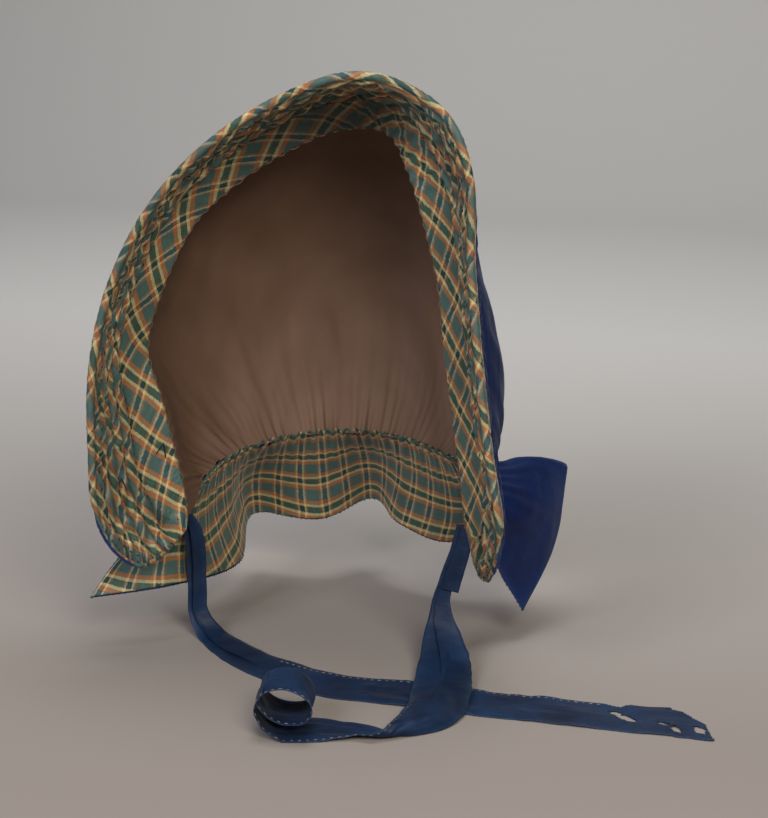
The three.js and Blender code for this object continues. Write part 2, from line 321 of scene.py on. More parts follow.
def new_piece(name, points, faces, uv, material, wear_and_shade=None):
    """A mesh object from points in millimetres, with its cloth map in metres."""
    mesh = bpy.data.meshes.new(name)
    mesh.from_pydata((points * MM).tolist(), [], faces.tolist())
    layer = mesh.uv_layers.new(name="cloth")
    corner = np.empty(len(mesh.loops), int)
    mesh.loops.foreach_get("vertex_index", corner)
    layer.data.foreach_set("uv", (uv[corner] * MM).ravel())
    # The attribute holds rubbed edge wear on the silk and ribbon pieces, and painted shade on the brim facing.
    if wear_and_shade is not None:
        mesh.attributes.new("wear_and_shade", "FLOAT", "POINT").data.foreach_set("value", wear_and_shade.ravel())
    mesh.materials.append(material)
    mesh.polygons.foreach_set("use_smooth", np.ones(len(mesh.polygons), bool))
    mesh.update()
    piece = bpy.data.objects.new(name, mesh)
    bpy.context.scene.collection.objects.link(piece)
    return piece


def closed_wall(name, low, high, uv, material, wear_and_shade):
    """A closed cloth wall between two grids; high lies on the side that the faces turn to."""
    rows, columns = low.shape[:2]
    count = rows * columns
    corner = np.arange(count).reshape(rows, columns)
    outer = quads(rows, columns)
    faces = [outer + count, outer[:, ::-1]]
    edges = [corner[:, 0], corner[-1, :], corner[::-1, -1], corner[0, ::-1]]
    for edge in edges:
        a, b = edge[:-1], edge[1:]
        faces.append(np.stack([a, b, b + count, a + count], -1))
    points = np.concatenate([low.reshape(-1, 3), high.reshape(-1, 3)])
    maps = np.concatenate([uv.reshape(-1, 2)] * 2)
    return new_piece(name, points, np.concatenate(faces), maps, material, np.concatenate([wear_and_shade.ravel()] * 2))


def thin_sheet(name, grid, uv, material, wear_and_shade, wall, keep=None):
    """One layer of cloth, thickened evenly, without the faces that keep leaves out."""
    rows, columns = grid.shape[:2]
    faces = quads(rows, columns)
    points, maps, worn = grid.reshape(-1, 3), uv.reshape(-1, 2), wear_and_shade.ravel()
    if keep is not None:
        faces = faces[keep.ravel()]
        used, faces = np.unique(faces, return_inverse=True)
        faces = faces.reshape(-1, 4)
        points, maps, worn = points[used], maps[used], worn[used]
    piece = new_piece(name, points, faces, maps, material, worn)
    layer = piece.modifiers.new("thickness", "SOLIDIFY")
    layer.thickness = wall * MM
    layer.offset = 0
    return applied(piece)


def applied(piece):
    """The piece with its modifiers turned into plain mesh."""
    bpy.context.view_layer.update()
    evaluated = piece.evaluated_get(bpy.context.evaluated_depsgraph_get())
    mesh = bpy.data.meshes.new_from_object(evaluated)
    piece.modifiers.clear()
    old, piece.data = piece.data, mesh
    bpy.data.meshes.remove(old)
    mesh.name = piece.name
    return piece


# Cloth settling
SETTLE_SCALE = 0.02
SETTLE_FRAMES = 20


def settle(grid, held, spare, least, most, furthest):
    """Lets cloth with spare length buckle between the points that hold it."""
    rows, columns = grid.shape[:2]
    mesh = bpy.data.meshes.new("settling")
    mesh.from_pydata((grid.reshape(-1, 3) * SETTLE_SCALE).tolist(), [], quads(rows, columns).tolist())
    piece = bpy.data.objects.new("settling", mesh)
    bpy.context.scene.collection.objects.link(piece)
    for name, weights in (("held", held.ravel()), ("spare", spare.ravel())):
        group = piece.vertex_groups.new(name=name)
        levels = np.round(weights, 2)
        for level in np.unique(levels):
            if level > 0:
                group.add(np.flatnonzero(levels == level).tolist(), float(level), "REPLACE")
    cloth = piece.modifiers.new("cloth", "CLOTH")
    fabric = cloth.settings
    fabric.quality = 4
    fabric.mass = 0.2
    fabric.tension_stiffness = fabric.compression_stiffness = 20
    fabric.shear_stiffness = 8
    fabric.bending_stiffness = 0.06
    fabric.vertex_group_mass = "held"
    fabric.vertex_group_shrink = "spare"
    fabric.shrink_min, fabric.shrink_max = -least, -most
    fabric.effector_weights.gravity = 0
    cloth.collision_settings.use_collision = False
    cloth.point_cache.frame_end = SETTLE_FRAMES
    for number in range(1, SETTLE_FRAMES + 1):
        bpy.context.scene.frame_set(number)
    evaluated = piece.evaluated_get(bpy.context.evaluated_depsgraph_get())
    moved = np.empty(rows * columns * 3)
    evaluated.data.vertices.foreach_get("co", moved)
    bpy.data.objects.remove(piece)
    bpy.data.meshes.remove(mesh)
    bpy.context.scene.frame_set(1)
    shift = moved.reshape(grid.shape) / SETTLE_SCALE - grid
    far = np.linalg.norm(shift, axis=-1, keepdims=True)
    return shift * np.minimum(1, furthest / np.maximum(far, 1e-9))


# Materials
def linear(code):
    """Linear colour of an sRGB hex value."""
    values = [int(code[i:i + 2], 16) / 255 for i in (1, 3, 5)]
    return [v / 12.92 if v <= 0.04045 else ((v + 0.055) / 1.055) ** 2.4 for v in values] + [1.0]


def add_node(tree, kind, settings=None, inputs=None, stops=None):
    """Adds one node, sets its properties and colour stops, and fills or links its inputs."""
    node = tree.nodes.new(kind)
    for key, value in (settings or {}).items():
        setattr(node, key, value)
    for key, value in (inputs or {}).items():
        if isinstance(value, bpy.types.NodeSocket):
            tree.links.new(value, node.inputs[key])
        else:
            node.inputs[key].default_value = value
    if stops:
        ramp_stops = node.color_ramp.elements
        while len(ramp_stops) < len(stops):
            ramp_stops.new(1.0)
        for element, (place, code) in zip(ramp_stops, stops):
            element.position = place
            element.color = linear(code)
    return node


def new_material(name):
    material = bpy.data.materials.new(name)
    material.use_nodes = True
    material.node_tree.nodes.clear()
    return material, material.node_tree


# Stripes of the plaid across one repeat: width in millimetres, colour
WEFT_BANDS = [
    (2.8, "#ac632e"), (1.9, "#c6b480"), (4.4, "#243a2f"), (1.9, "#c6b480"), (2.8, "#ac632e"), (8.7, "#425c5c")]
WARP_BANDS = [
    (1.2, "#a56a3a"), (1.3, "#c4c698"), (3.4, "#1f3a40"), (1.3, "#c4c698"), (1.2, "#a56a3a"), (8.2, "#4b6a5c")]


def band_stops(bands):
    """Colour stops and repeat length of stripes given as width and colour."""
    repeat = sum(width for width, code in bands)
    place, stops = 0, []
    for width, code in bands:
        stops.append((place / repeat, code))
        place += width
    return stops, repeat


def plaid_silk():
    """Thin plaid silk: coloured stripes both ways that blend where they cross, slubbed threads, a soft gloss, random
    ageing, and painted shade read from the mesh attribute.
    """
    material, tree = new_material("plaid_silk_taffeta")
    cloth = add_node(tree, "ShaderNodeUVMap", {"uv_map": "cloth"}).outputs["UV"]
    wander = add_node(tree, "ShaderNodeTexNoise", {}, {"Vector": cloth, "Scale": 1 / 0.011, "Detail": 2.0})
    bowed = add_node(tree, "ShaderNodeVectorMath", {"operation": "MULTIPLY_ADD"},
                     {0: wander.outputs["Color"], 1: (0.0012, 0.0012, 0), 2: cloth}).outputs[0]
    thread = add_node(tree, "ShaderNodeTexNoise", {}, {"Vector": cloth, "Scale": 1 / 0.0007, "Detail": 1.0})
    shift = add_node(tree, "ShaderNodeVectorMath", {"operation": "MULTIPLY_ADD"},
                     {0: thread.outputs["Color"], 1: (0.0016, 0.0016, 0), 2: bowed}).outputs[0]
    ways = add_node(tree, "ShaderNodeSeparateXYZ", {}, {0: shift})
    stripes = []
    for axis, bands in (("X", WEFT_BANDS), ("Y", WARP_BANDS)):
        stops, repeat = band_stops(bands)
        turn = add_node(tree, "ShaderNodeMath", {"operation": "MULTIPLY"},
                        {0: ways.outputs[axis], 1: 1 / (repeat * MM)}).outputs[0]
        place = add_node(tree, "ShaderNodeMath", {"operation": "FRACT"}, {0: turn}).outputs[0]
        stripe = add_node(tree, "ShaderNodeValToRGB", {}, {"Fac": place}, stops)
        stripe.color_ramp.interpolation = "CONSTANT"
        stripes.append(stripe.outputs["Color"])
    slubs = []
    for stretch in ((1 / 0.0011, 1 / 0.016, 1), (1 / 0.016, 1 / 0.0011, 1)):
        along = add_node(tree, "ShaderNodeVectorMath", {"operation": "MULTIPLY"}, {0: cloth, 1: stretch}).outputs[0]
        slub = add_node(tree, "ShaderNodeTexNoise", {}, {"Vector": along, "Scale": 1.0, "Detail": 1.0})
        slubs.append(slub.outputs["Fac"])
    over = add_node(tree, "ShaderNodeMath", {"operation": "SUBTRACT"}, {0: slubs[0], 1: slubs[1]}).outputs[0]
    share = add_node(tree, "ShaderNodeMath", {"operation": "MULTIPLY_ADD", "use_clamp": True},
                     {0: over, 1: 0.6, 2: 0.4}).outputs[0]
    woven = add_node(tree, "ShaderNodeMix", {"data_type": "RGBA"},
                     {0: share, 6: stripes[0], 7: stripes[1]})
    age = add_node(tree, "ShaderNodeTexNoise", {}, {"Vector": cloth, "Scale": 1 / 0.045, "Detail": 4.0})
    tone = add_node(tree, "ShaderNodeMapRange", {}, {"Value": age.outputs["Fac"], 1: 0.3, 2: 0.7, 3: 0.8, 4: 1.12})
    # Painted shade: the mesh attribute darkens the colour by up to half, in the facing's valleys and across its top.
    painted_shade = add_node(tree, "ShaderNodeAttribute", {"attribute_name": "wear_and_shade"}).outputs["Fac"]
    dimmed = add_node(tree, "ShaderNodeMath", {"operation": "MULTIPLY_ADD"}, {0: painted_shade, 1: -0.5, 2: tone.outputs[0]})
    aged_and_shaded = add_node(tree, "ShaderNodeHueSaturation", {}, {"Value": dimmed.outputs[0], "Color": woven.outputs[2]})
    height = add_node(tree, "ShaderNodeMath", {"operation": "ADD"}, {0: slubs[0], 1: slubs[1]}).outputs[0]
    relief = add_node(tree, "ShaderNodeBump", {}, {"Height": height, "Strength": 0.35, "Distance": 0.0004})
    silk = add_node(tree, "ShaderNodeBsdfPrincipled", {}, {
        "Base Color": aged_and_shaded.outputs[0], "Roughness": 0.62, "IOR": 1.5, "Specular IOR Level": 0.35,
        "Sheen Weight": 0.15, "Sheen Roughness": 0.4, "Normal": relief.outputs[0]})
    add_node(tree, "ShaderNodeOutputMaterial", {}, {"Surface": silk.outputs[0]})
    return material


def plain_silk(name, deep, pale, worn, rib, rough, sheen):
    """Plain woven silk: ribbed threads, faint creasing, paler where edges rub, a cool soft gloss."""
    material, tree = new_material(name)
    cloth = add_node(tree, "ShaderNodeUVMap", {"uv_map": "cloth"}).outputs["UV"]
    cloud = add_node(tree, "ShaderNodeTexNoise", {}, {
        "Vector": cloth, "Scale": 1 / 0.05, "Detail": 5.0, "Roughness": 0.6})
    shade = add_node(tree, "ShaderNodeValToRGB", {}, {"Fac": cloud.outputs["Fac"]}, [(0.36, deep), (0.68, pale)])
    edge = add_node(tree, "ShaderNodeAttribute", {"attribute_name": "wear_and_shade"}).outputs["Fac"]
    fuzz = add_node(tree, "ShaderNodeTexNoise", {}, {"Vector": cloth, "Scale": 1 / 0.004, "Detail": 3.0})
    rubbed = add_node(tree, "ShaderNodeMath", {"operation": "MULTIPLY", "use_clamp": True},
                      {0: edge, 1: fuzz.outputs["Fac"]}).outputs[0]
    colour = add_node(tree, "ShaderNodeMix", {"data_type": "RGBA"},
                      {0: rubbed, 6: shade.outputs[0], 7: linear(worn)})
    ribs = add_node(tree, "ShaderNodeVectorMath", {"operation": "MULTIPLY"},
                    {0: cloth, 1: (1 / (rib * MM), 1 / (14 * rib * MM), 1)}).outputs[0]
    thread = add_node(tree, "ShaderNodeTexNoise", {}, {"Vector": ribs, "Scale": 1.0, "Detail": 1.0}).outputs["Fac"]
    crease = add_node(tree, "ShaderNodeTexNoise", {}, {
        "Vector": cloth, "Scale": 1 / 0.014, "Detail": 4.0, "Roughness": 0.55}).outputs["Fac"]
    weave = add_node(tree, "ShaderNodeBump", {}, {"Height": thread, "Strength": 0.3, "Distance": 0.0003})
    creased = add_node(tree, "ShaderNodeBump", {}, {
        "Height": crease, "Strength": 0.5, "Distance": 0.002, "Normal": weave.outputs[0]})
    gloss = add_node(tree, "ShaderNodeMapRange", {}, {
        "Value": cloud.outputs["Fac"], 1: 0.3, 2: 0.7, 3: rough - 0.05, 4: rough + 0.08})
    silk = add_node(tree, "ShaderNodeBsdfPrincipled", {}, {
        "Base Color": colour.outputs[2], "Roughness": gloss.outputs[0], "IOR": 1.5, "Specular IOR Level": 0.2,
        "Sheen Weight": sheen, "Sheen Roughness": 0.35, "Sheen Tint": linear("#6f93c8"),
        "Normal": creased.outputs[0]})
    add_node(tree, "ShaderNodeOutputMaterial", {}, {"Surface": silk.outputs[0]})
    return material


def glazed_cotton():
    """Brown glazed cotton: a plain weave with uneven dye and a dull polish."""
    material, tree = new_material("brown_glazed_cotton")
    cloth = add_node(tree, "ShaderNodeUVMap", {"uv_map": "cloth"}).outputs["UV"]
    cloud = add_node(tree, "ShaderNodeTexNoise", {}, {"Vector": cloth, "Scale": 1 / 0.03, "Detail": 6.0})
    shade = add_node(tree, "ShaderNodeValToRGB", {}, {"Fac": cloud.outputs["Fac"]},
                     [(0.2, "#614b39"), (0.8, "#72594a")])
    grain = add_node(tree, "ShaderNodeTexNoise", {}, {"Vector": cloth, "Scale": 1 / 0.0009, "Detail": 2.0})
    relief = add_node(tree, "ShaderNodeBump", {}, {
        "Height": grain.outputs["Fac"], "Strength": 0.3, "Distance": 0.0003})
    cotton = add_node(tree, "ShaderNodeBsdfPrincipled", {}, {
        "Base Color": shade.outputs[0], "Roughness": 0.7, "IOR": 1.5, "Specular IOR Level": 0.3,
        "Normal": relief.outputs[0]})
    add_node(tree, "ShaderNodeOutputMaterial", {}, {"Surface": cotton.outputs[0]})
    return material


def sewing_thread(name, code):
    """Twisted cotton thread: dull, with shade that changes along it."""
    material, tree = new_material(name)
    place = add_node(tree, "ShaderNodeTexCoord").outputs["Object"]
    twist = add_node(tree, "ShaderNodeTexNoise", {}, {"Vector": place, "Scale": 1 / 0.003, "Detail": 2.0})
    tone = add_node(tree, "ShaderNodeMapRange", {}, {"Value": twist.outputs["Fac"], 1: 0.3, 2: 0.7, 3: 0.7, 4: 1.25})
    shade = add_node(tree, "ShaderNodeHueSaturation", {}, {"Value": tone.outputs[0], "Color": linear(code)})
    thread = add_node(tree, "ShaderNodeBsdfPrincipled", {}, {
        "Base Color": shade.outputs[0], "Roughness": 0.8, "Specular IOR Level": 0.25})
    add_node(tree, "ShaderNodeOutputMaterial", {}, {"Surface": thread.outputs[0]})
    return material


def studio_paper():
    """Matt studio paper, warm and darker near the object, cooler and paler farther back; the paler back is painted
    light.
    """
    material, tree = new_material("studio_paper")
    place = add_node(tree, "ShaderNodeTexCoord").outputs["Object"]
    far = add_node(tree, "ShaderNodeSeparateXYZ", {}, {0: place}).outputs["Y"]
    share = add_node(tree, "ShaderNodeMapRange", {}, {"Value": far, 1: -0.1, 2: 0.9})
    # Painted light: the colour grows much paler towards the back of the sweep.
    shade = add_node(tree, "ShaderNodeValToRGB", {}, {"Fac": share.outputs[0]}, [(0.0, "#8b847e"), (1.0, "#b9b8b6")])
    paper = add_node(tree, "ShaderNodeBsdfPrincipled", {}, {
        "Base Color": shade.outputs[0], "Roughness": 0.9, "Specular IOR Level": 0.2})
    add_node(tree, "ShaderNodeOutputMaterial", {}, {"Surface": paper.outputs[0]})
    return material


PLAID = plaid_silk()
BLUE = plain_silk("navy_silk_taffeta", "#0b183e", "#102757", "#2a4072", 0.9, 0.46, 0.05)
NAVY_RIBBON = plain_silk("navy_silk_ribbon", "#0c192f", "#183050", "#2f435d", 0.7, 0.5, 0.04)
BROWN = glazed_cotton()
DARK_THREAD = sewing_thread("dark_sewing_thread", "#16161d")
PALE_THREAD = sewing_thread("pale_sewing_thread", "#8f8775")


# Brim
BRIM_STEPS = 520
CHANNEL_STEPS = 8
SMOOTH_ROWS = 22
brim_along = np.linspace(0, 1, BRIM_STEPS + 1)
brim_rows = np.concatenate([
    np.linspace(0, QUILTED_SHARE, CHANNELS * CHANNEL_STEPS + 1),
    np.linspace(QUILTED_SHARE, 1, SMOOTH_ROWS + 1)[1:]])


def rounded(wall, edge, across):
    return mix(edge, wall, ramp(0, RIM_ROUND, across))


def bias_map(along_mm, across_mm):
    """The cloth map of a piece cut at a slant to the weave and pulled askew in the sewing."""
    weft, warp = math.radians(WEFT_TILT), math.radians(WARP_TILT)
    first = along_mm * math.cos(weft) + across_mm * math.sin(weft)
    return np.stack([first, across_mm * math.cos(warp) - along_mm * math.sin(warp)], -1)


def puckers(run, across_mm, channels, seed):
    """Uneven bulges between the stitch lines, tilted one way and the other by turns."""
    channel = np.floor(channels)
    lean = np.where(channel % 2 < 1, 1.0, -1.0)
    wander = 3.0 * soft_noise(run, across_mm * 3, 25, seed) + 1.7 * channel
    wave = np.sin(2 * np.pi * (run + lean * across_mm * PUCKER_LEAN) / PUCKER_PERIOD + wander)
    lump = soft_noise(run, across_mm * 2, 8, seed + 1)
    return 0.75 * wave + 0.45 * lump


def quilted_shift(grid, side, stitched, spare, seed):
    """Shift of a padded grid after its spare cloth has settled between the stitches."""
    jitter = np.random.default_rng(seed).normal(0, 0.12, grid.shape[:2])
    start = grid + side * jitter[..., None]
    shift = settle(start, stitched, spare, *SETTLE_SPARE, SETTLE_REACH) + start - grid
    inward = np.minimum(0, np.sum(shift * side, -1) + 0.5)
    return shift - side * inward[..., None]


def stitch_hold(rows, columns, row_share, pitch, soft):
    """How firmly each point is held: fully at the stitches, softly elsewhere."""
    held = np.full((rows, columns), soft)
    for k in range(CHANNELS + 1):
        row = np.argmin(np.abs(row_share - QUILTED_SHARE * k / CHANNELS))
        held[(k % 2)::pitch, row] = 1.0
    return held


def extended(value, known, result):
    """Reads a table between its points, and goes straight on beyond its two ends."""
    inside = np.clip(value, known[0], known[-1])
    low, high = ((result[k] - result[j]) / (known[k] - known[j]) for j, k in ((0, 4), (-5, -1)))
    beyond = value - inside
    return np.interp(inside, known, result) + beyond * np.where(beyond < 0, low, high)


# Sections where the lappets begin, and the rows beyond each
LAPPETS = ((78, slice(0, 78)), (460, slice(461, None)))


def flat_places(base, middle, across, fullness):
    """Where each point of the brim lies in its flat cloth: along it, down from the seam, share of its depth."""
    lean = np.sum((base - middle) * unit(np.gradient(middle, axis=0)), -1)
    steps = np.diff(lengths(base, 1), axis=1) ** 2 - np.diff(lean, axis=1) ** 2
    steps = np.sqrt(np.maximum(0, steps)) * fullness[:, 1:]
    down = np.cumsum(np.concatenate([np.zeros((len(base), 1)), steps], 1), 1)
    down = down - down[:, -1:]
    run = lengths(middle, 0) + lean
    share = across.copy()
    for edge, rows in LAPPETS:
        way = unit(middle[edge + 1, 0] - middle[edge - 1, 0])
        depth = base[edge, -1] - base[edge, 0]
        side = unit(depth - way * np.dot(depth, way))
        place, known = base[rows] @ side, base[edge] @ side
        run[rows] = base[rows] @ way + extended(place, known, run[edge] - base[edge] @ way)
        down[rows] = extended(place, known, down[edge])
        share[rows] = extended(place, known, across[edge])
    return run, down, share


def make_brim():
    along, across = np.meshgrid(brim_along, brim_rows, indexing="ij")
    base = brim_surface(along, across)
    out = normals(base)
    middle = brim_surface(brim_along, np.full_like(brim_along, 0.7))[:, None]
    run = np.broadcast_to(lengths(middle, 0), along.shape)
    deep = lengths(base, 1)
    chord = np.linalg.norm(seam_route(along) - rim_route(along), axis=-1)
    full = ramp(15, 45, chord)
    quilted = (1 - ramp(QUILTED_SHARE - 0.04, QUILTED_SHARE + 0.06, across)) * full
    eased = mix(0.3, 1, ramp(0.14, 0.34, along) * ramp(0.11, 0.25, 1 - along))
    flat_run, flat_deep, share = flat_places(base, middle, across, 1 + PLAID_FULLNESS * quilted * eased)
    main = ramp(0.13, 0.17, along) * ramp(0.1, 0.13, 1 - along)
    channels = np.clip(share, 0, QUILTED_SHARE) * CHANNELS / QUILTED_SHARE
    window = np.abs(np.sin(np.pi * channels)) * mix(ramp(0, 9, deep), 1, main)
    height = CHANNEL_HEIGHT * full * window
    pleat_zone = ramp(0.5, 0.56, along) * ramp(0.3, 0.38, 1 - along)
    pleat_wave = np.sin(2 * np.pi * run / PLEAT_PERIOD + 2 * soft_noise(run, deep, 24, 5))
    pleats = pleat_zone * ramp(0.25, 0.9, across) * (1 + pleat_wave)

    # Blue cover
    bulge = height + full * window * 0.7 * puckers(flat_run, flat_deep * 0.6, channels, 31)
    high = base + out * (LAYER_GAP / 2 + rounded(COVER_WALL, RIM_EDGE, across) + bulge)[..., None]
    hold = stitch_hold(*along.shape, brim_rows, STITCH_STEP, SOFT_HOLD)
    hold[:, -1] = hold[:, 0] = hold[0] = hold[-1] = 1
    high = high + quilted_shift(high, out, hold, quilted, 32)
    low = base + out * (LAYER_GAP / 2)
    wear_and_shade = 1 - ramp(0, 5, deep)
    cover = closed_wall("brim_cover_silk", low, high, np.stack([run, deep], -1), BLUE, wear_and_shade)

    # Plaid facing, rolled over the rim except where the lappets show a blue edge
    pucker = puckers(flat_run, flat_deep * 0.6, channels, 41)
    bulge = 1.5 * height + full * window * 1.3 * pucker + 0.9 * pleats
    inset = 2.6 * ramp(0.085, 0.115, along) * (1 - ramp(0.155, 0.185, along))
    inset = inset + 1.6 * ramp(0.88, 0.91, along) * (1 - ramp(0.955, 0.975, along))
    shift_in = inset * (1 - ramp(0, 14, deep))
    wall = rounded(FACING_WALL, RIM_ROLL, across) * mix(0.35, 1, full) - 0.5 * inset * (1 - ramp(0, 5, deep))
    inner = unit(np.gradient(base, axis=1))
    front = base + inner * shift_in[..., None] - out * (LAYER_GAP / 2 + wall + bulge)[..., None]
    back = base + inner * shift_in[..., None] - out * (LAYER_GAP / 2)
    rim, rim_out, rim_in = base[:, :1] + inner[:, :1] * inset[:, :1, None], out[:, :1], inner[:, :1]
    thick = (LAYER_GAP / 2 + wall[:, :1] + bulge[:, :1])[..., None]
    over = (1 - np.minimum(1, inset[:, :1]))[..., None] * full[:, :1, None]
    rows_front, rows_back = [], []
    for c in (ROLL_OVER, ROLL_OVER / 2):
        row = np.argmin(np.abs(deep[BRIM_STEPS // 2] - c))
        cover_top = base[:, row:row + 1] + rim_out * (LAYER_GAP / 2 + 2.0)
        spot = mix(rim + rim_out * 0.1, cover_top + rim_out * 0.35, over)
        rows_front.append(spot)
        rows_back.append(spot - rim_out * 0.3 * over)
    for angle in np.linspace(0, np.pi, 9)[:-1]:
        reach = rim_out * math.cos(angle) * mix(0.3, 1, over) if angle < np.pi / 2 else rim_out * math.cos(angle)
        direction = reach - rim_in * math.sin(angle)
        rows_front.append(rim + direction * thick)
        rows_back.append(rim + direction * (thick * 0.45))
    front = np.concatenate(rows_front + [front], 1)
    back = np.concatenate(rows_back + [back], 1)
    extra = len(rows_front)
    hold = stitch_hold(*along.shape, brim_rows, STITCH_STEP, SOFT_HOLD)
    hold = np.concatenate([np.full((len(brim_along), extra), ROLL_HOLD), hold], 1)
    hold[:, 0] = hold[:, -1] = hold[0] = hold[-1] = 1
    spare = np.concatenate([np.repeat(quilted[:, :1], extra, 1), quilted], 1)
    loose = spare * main[:, :1]
    visible = -normals(front)
    front = front + quilted_shift(front, visible, hold, loose, 42)
    rolled = np.concatenate(rows_front + [base[:, :1]], 1)
    rolled = lengths(rolled, 1) - lengths(rolled, 1)[:, -1:]
    run_all = np.concatenate([np.repeat(flat_run[:, :1], extra, 1), flat_run], 1)
    deep_all = np.concatenate([flat_deep[:, :1] + rolled[:, :-1], flat_deep], 1)
    channel = np.floor(np.concatenate([np.zeros((len(brim_along), extra)), channels], 1))
    slip = spare * (3.0 * soft_noise(run_all + 61 * channel, deep_all * 0.2, 19, 43) + 2.2 * np.sin(5.3 * channel))
    uv = bias_map(run_all + slip, deep_all + 0.4 * slip)
    # Painted shade: the facing is darkened in the stitched valleys, in the pucker hollows and across the top near the
    # seam.
    crease = np.exp(-3.2 * window) * quilted + 0.5 * quilted * np.clip(-pucker, 0, 1)
    brim_top_shade = ramp(0.3, 0.8, across) * ramp(0.38, 0.5, along) * ramp(0.36, 0.44, 1 - along)
    painted_shade = np.concatenate([np.repeat(crease[:, :1], extra, 1) * 0.3, np.minimum(1, crease) + 1.3 * brim_top_shade], 1)
    facing = closed_wall("brim_facing_plaid", front, back, uv, PLAID, painted_shade)
    return cover, facing, front[:, extra:], visible[:, extra:]


def neck_pleats(neck_run, away):
    """Fine pleats along the neck seam, fading in step on both sides of it."""
    return np.sin(2 * np.pi * neck_run / NECK_PLEAT + 2.4 * soft_noise(neck_run, away, 26, 3))


# Crown
def make_crown():
    steps = np.linspace(0, 1, 301)
    along, down = np.meshgrid(steps, np.linspace(0, 1, 151), indexing="ij")
    base = crown_surface(along, down)
    out = normals(base)
    ends = ramp(0.02, 0.12, along) * ramp(0.02, 0.12, 1 - along)
    top_run = np.broadcast_to(lengths(seam_route(steps)[:, None], 0), along.shape)
    neck_run = np.broadcast_to(lengths(neck_route(steps)[:, None], 0), along.shape)
    deep = lengths(base, 1)
    left = deep[:, -1:] - deep
    folds = np.exp(-left / 24) * neck_pleats(neck_run, left)
    eased = np.exp(-deep / 20) * np.sin(2 * np.pi * top_run / 9 + 2.4 * soft_noise(top_run, deep, 30, 4))
    soft = soft_noise(top_run, deep * 0.35, 24, 7) + 0.6 * soft_noise(top_run, deep * 0.5, 11, 8)
    body = ramp(0, 0.15, down) * ramp(0, 0.2, 1 - down)
    shape = ends * (1.15 * folds + 0.85 * eased + 1.8 * body * soft)
    uv = np.stack([mix(top_run, neck_run, down), deep], -1)
    low = base + out * (LAYER_GAP / 2 + shape)[..., None]
    high = low + out * (0.9 + 0.5 * ends)[..., None]
    wear_and_shade = 0.8 * np.exp(-deep / 3)
    cover = closed_wall("crown_cover_silk", low, high, uv, BLUE, wear_and_shade)
    ear = EAR_SLACK * (1 - ramp(0, 0.12, np.minimum(along, 1 - along)))
    gather_wave = np.sin(2 * np.pi * neck_run / 5.2 + soft_noise(neck_run, deep, 20, 9))
    gathers = ends * 0.9 * np.exp(-left / 14) * (gather_wave - 1)
    high = base + out * (np.minimum(shape, shape * 0.7) - 0.6 * ends - LAYER_GAP / 2 - ear + gathers)[..., None]
    low = high - out * SILK_WALL
    lining = closed_wall("crown_lining_cotton", low, high, uv, BROWN, np.zeros(down.shape))
    return cover, lining


# Neck curtain
def make_curtain():
    steps = np.linspace(0, 1, 361)
    along, down = np.meshgrid(steps, np.linspace(0, 1, 71), indexing="ij")
    base = curtain_surface(along, down)
    out = normals(base)
    neck_run = np.broadcast_to(lengths(neck_route(steps)[:, None], 0), along.shape)
    hem_run = np.broadcast_to(lengths(hem_route(steps)[:, None], 0), along.shape)
    deep = lengths(base, 1)
    ends = ramp(0, 0.04, along) * ramp(0, 0.04, 1 - along)
    folds = np.exp(-deep / 20) * neck_pleats(neck_run, deep)
    soft = soft_noise(hem_run, deep, 30, 14) + 0.5 * soft_noise(hem_run, deep * 1.5, 13, 15)
    shape = ends * 1.2 * folds + 0.9 * ramp(0, 0.3, down) * soft
    base = base + out * shape[..., None]
    uv = np.stack([mix(neck_run * 1.5, hem_run, 0.7), deep], -1)
    wear_and_shade = np.exp(-np.minimum(deep[:, -1:] - deep, np.minimum(hem_run, hem_run[-1:] - hem_run)) / 2.5)
    low = base + out * (LAYER_GAP / 2)
    curtain = closed_wall("neck_curtain_silk", low, low + out * SILK_WALL, uv, BLUE, wear_and_shade)
    inner = (slice(0, -2), slice(0, -1))
    lap = (np.exp(-deep / 2.5) * ends)[inner][..., None]
    away = out[inner] * np.array([1, 1, 0])
    high = base[inner] - out[inner] * (LAYER_GAP / 2) + lap * (np.array([0, 0, LAP_UP]) - LAP_IN * unit(away))
    lining_map = np.stack([deep + LINING_SHIFT, uv[..., 0]], -1)[inner]
    lining = closed_wall("neck_curtain_lining_plaid", high - out[inner] * SILK_WALL, high,
                         lining_map, PLAID, np.zeros(high.shape[:2]))
    return curtain, lining, base, out


# Ties
def roll_rows():
    """The loose, slightly flattened roll that ends the left tie, as rows of the tie's table."""
    rows = []
    for step in range(ROLL_STEPS + 1):
        turn = 2 * math.pi * ROLL_TURNS * step / ROLL_STEPS
        wide, tall = (r - c * step / ROLL_STEPS for r, c in zip(ROLL_RADIUS, ROLL_CLOSING))
        rise = ROLL_RADIUS[1] - tall - tall * math.cos(turn)
        middle = np.array(ROLL_CENTRE) + np.array([-wide * math.sin(turn), 0, rise])
        half = unit(np.array(ROLL_AXIS)) * (RIBBON / 2 - 1)
        rows.append((middle - half, middle + half, 0, 0))
    return rows


def edge_rows(rows):
    """Rows given by middle, direction and width, as rows of two edges."""
    return [(np.array(at) - unit(np.array(way)) * width / 2, np.array(at) + unit(np.array(way)) * width / 2, 0, pleat)
            for at, way, width, pleat in rows]


